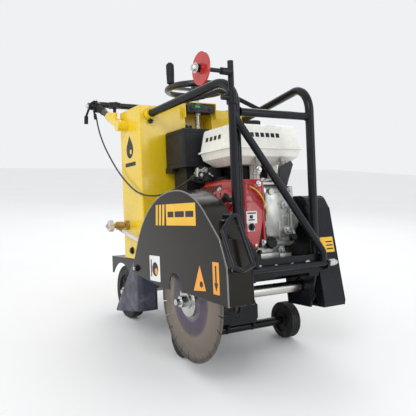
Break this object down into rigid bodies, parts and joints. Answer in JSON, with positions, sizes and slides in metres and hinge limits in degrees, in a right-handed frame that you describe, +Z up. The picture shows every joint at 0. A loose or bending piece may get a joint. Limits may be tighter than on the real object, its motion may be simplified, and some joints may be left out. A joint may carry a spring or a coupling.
{
  "type": "walk-behind concrete saw",
  "caption": "Walk-behind saw for concrete: sheet-metal frame and water tank, petrol engine in a tube cage, guarded blade, belt drive, depth handwheel, handlebar and fold-down pointer.",
  "frame": {"origin": "centre of the bounding box in X and Y, on the ground in Z", "axes": "+X forward, +Y the belt side (operator's left), -Y the blade side, +Z up; the chassis stands 7.5 degrees nose-up on its wheels"},
  "size_m": [1.1962, 0.6052, 0.9642],
  "materials": {
    "tank_yellow": "gloss enamel",
    "black_paint": "satin enamel",
    "guard_black": "gloss enamel",
    "zinc": "bright zinc",
    "bearing_grey": "cast",
    "steel": "turned",
    "blade": "turned, heat tinted",
    "bar_black": "gloss enamel",
    "aluminium": "cast",
    "red_paint": "gloss",
    "tank_white": "gloss",
    "black_plastic": "moulded",
    "switch_red": "moulded",
    "handwheel_black": "gloss",
    "brass": "cast",
    "tyre": "solid rubber",
    "rubber": "matte",
    "flap_blue": "smooth",
    "hose_grey": "smooth PVC",
    "cable_black": "sheathed",
    "lead_yellow": "sheathed",
    "pointer_red": "satin"
  },
  "bodies": {
    "chassis": {"chassis_frame": "black_paint", "front_crossmember": "black_paint", "engine_plate": "black_paint", "water_tank": "tank_yellow", "screw_hood": "tank_yellow", "screw_bearing_block": "bearing_grey", "roll_hoop_right": "black_paint", "roll_hoop_left": "black_paint", "cage_bars": "black_paint", "rear_axle": "steel", "shaft_bearings": "bearing_grey", "belt_guard": "black_paint", "guard_mount_bar": "black_paint", "spray_pipe": "zinc", "valve_body": "brass", "water_hose": "hose_grey", "throttle_cable": "cable_black", "crankcase": "aluminium", "cylinder": "aluminium", "fan_shroud": "red_paint", "recoil_cover": "red_paint", "fuel_tank": "tank_white", "air_cleaner": "black_plastic", "carburettor": "aluminium", "muffler": "black_paint", "engine_bolts": "zinc", "pivot_pins": "zinc", "handlebar_sockets": "tank_yellow", "oil_alert_lead": "lead_yellow", "drive_belts": "rubber"},
    "blade": {"blade_shaft": "steel", "blade_flanges": "steel", "saw_blade": "blade", "arbor_bolt": "zinc", "driven_pulley": "bearing_grey"},
    "crank": {"crankshaft": "steel", "drive_pulley": "bearing_grey"},
    "swing": {"swing_frame": "black_paint"},
    "nut": {"depth_nut": "brass"},
    "screw": {"depth_screw": "steel", "handwheel": "handwheel_black"},
    "wheel_grip": {"handwheel_grip": "black_plastic"},
    "front_wheel_r": {"front_wheel_right": "tyre"},
    "front_wheel_l": {"front_wheel_left": "tyre"},
    "rear_wheel_r": {"rear_wheel_right": "tyre"},
    "rear_wheel_l": {"rear_wheel_left": "tyre"},
    "guard": {"blade_guard": "guard_black", "guard_handle": "black_paint", "guard_flap": "flap_blue"},
    "pointer": {"pointer_frame": "black_paint"},
    "pointer_rod": {"pointer_bar": "black_paint"},
    "pointer_disc": {"pointer_wheel": "pointer_red"},
    "bars": {"handlebar": "bar_black"},
    "lever": {"throttle_lever": "black_plastic"},
    "knob_r": {"star_knob_right": "black_plastic"},
    "knob_l": {"star_knob_left": "black_plastic"},
    "tap": {"valve_handle": "black_plastic"},
    "cap": {"fuel_cap": "black_plastic"},
    "switch": {"engine_switch": "switch_red"},
    "grip": {"starter_grip": "black_plastic"}
  },
  "joints": [
    {"name": "blade_spin", "type": "hinge", "parent": "chassis", "child": "blade", "pos_m": [0.29719, -0.07658, 0.22862], "axis": [0, 1, 0], "continuous": true},
    {"name": "crank_spin", "type": "hinge", "parent": "chassis", "child": "crank", "pos_m": [0.20905, 0.12342, 0.43841], "axis": [0, 1, 0], "continuous": true},
    {"name": "depth_screw_turn", "type": "hinge", "parent": "chassis", "child": "screw", "pos_m": [-0.16344, 0.02342, 0.72424], "axis": [0.1305, 0, -0.9914], "range_deg": [0, 3420]},
    {"name": "depth_nut_travel", "type": "slide", "parent": "chassis", "child": "nut", "axis": [0.1305, 0, -0.9914], "range_m": [0, 0.0571]},
    {"name": "depth_swing", "type": "hinge", "parent": "chassis", "child": "swing", "pos_m": [-0.00972, 0.02342, 0.13123], "axis": [0, -1, 0], "range_deg": [0, 41.66]},
    {"name": "handwheel_grip_spin", "type": "hinge", "parent": "screw", "child": "wheel_grip", "pos_m": [-0.18955, -0.08258, 0.92252], "axis": [-0.1305, 0, 0.9914], "continuous": true},
    {"name": "front_wheel_right_spin", "type": "hinge", "parent": "swing", "child": "front_wheel_r", "pos_m": [0.14558, -0.17958, 0.0625], "axis": [0, 1, 0], "continuous": true},
    {"name": "front_wheel_left_spin", "type": "hinge", "parent": "swing", "child": "front_wheel_l", "pos_m": [0.14558, 0.22642, 0.0625], "axis": [0, 1, 0], "continuous": true},
    {"name": "rear_wheel_right_spin", "type": "hinge", "parent": "chassis", "child": "rear_wheel_r", "pos_m": [-0.3082, -0.17458, 0.1], "axis": [0, 1, 0], "continuous": true},
    {"name": "rear_wheel_left_spin", "type": "hinge", "parent": "chassis", "child": "rear_wheel_l", "pos_m": [-0.3082, 0.22142, 0.1], "axis": [0, 1, 0], "continuous": true},
    {"name": "guard_lift", "type": "hinge", "parent": "chassis", "child": "guard", "pos_m": [0.02646, -0.27658, 0.27014], "axis": [0, -1, 0], "range_deg": [0, 35]},
    {"name": "pointer_fold", "type": "hinge", "parent": "chassis", "child": "pointer", "pos_m": [0.38919, 0.02342, 0.3189], "axis": [0, 1, 0], "range_deg": [0, 105]},
    {"name": "pointer_extend", "type": "slide", "parent": "pointer", "child": "pointer_rod", "axis": [-0.1305, 0, 0.9914], "range_m": [-0.04, 0.06]},
    {"name": "pointer_wheel_spin", "type": "hinge", "parent": "pointer_rod", "child": "pointer_disc", "pos_m": [0.32494, -0.24658, 0.86821], "axis": [0, 1, 0], "continuous": true},
    {"name": "handlebar_slide", "type": "slide", "parent": "chassis", "child": "bars", "axis": [0.9537, 0, -0.3007], "range_m": [-0.04, 0.03]},
    {"name": "throttle_lever_turn", "type": "hinge", "parent": "bars", "child": "lever", "pos_m": [-0.5465, -0.26458, 0.81569], "axis": [0, 1, 0], "range_deg": [0, 40]},
    {"name": "star_knob_right_turn", "type": "hinge", "parent": "chassis", "child": "knob_r", "pos_m": [-0.34526, -0.23358, 0.75224], "axis": [-0.1305, 0, 0.9914], "range_deg": [0, 720]},
    {"name": "star_knob_left_turn", "type": "hinge", "parent": "chassis", "child": "knob_l", "pos_m": [-0.34526, 0.28042, 0.75224], "axis": [-0.1305, 0, 0.9914], "range_deg": [0, 720]},
    {"name": "water_valve_turn", "type": "hinge", "parent": "chassis", "child": "tap", "pos_m": [-0.24967, -0.27658, 0.36793], "axis": [0, 1, 0], "range_deg": [0, 540]},
    {"name": "fuel_cap_turn", "type": "hinge", "parent": "chassis", "child": "cap", "pos_m": [0.11051, 0.07142, 0.75022], "axis": [-0.1305, 0, 0.9914], "range_deg": [0, 360]},
    {"name": "engine_switch_turn", "type": "hinge", "parent": "chassis", "child": "switch", "pos_m": [0.30896, -0.05058, 0.43038], "axis": [0.9914, 0, 0.1305], "range_deg": [0, 60]},
    {"name": "starter_pull", "type": "slide", "parent": "chassis", "child": "grip", "axis": [-0.0923, -0.7071, 0.7011], "range_m": [0, 0.45]}
  ],
  "couplings": [
    {"joint": "crank_spin", "follows": "blade_spin", "ratio": 1.3243},
    {"joint": "depth_swing", "follows": "depth_screw_turn", "ratio": 0.012166},
    {"joint": "depth_nut_travel", "follows": "depth_screw_turn", "m_per_rad": 0.00095493}
  ]
}
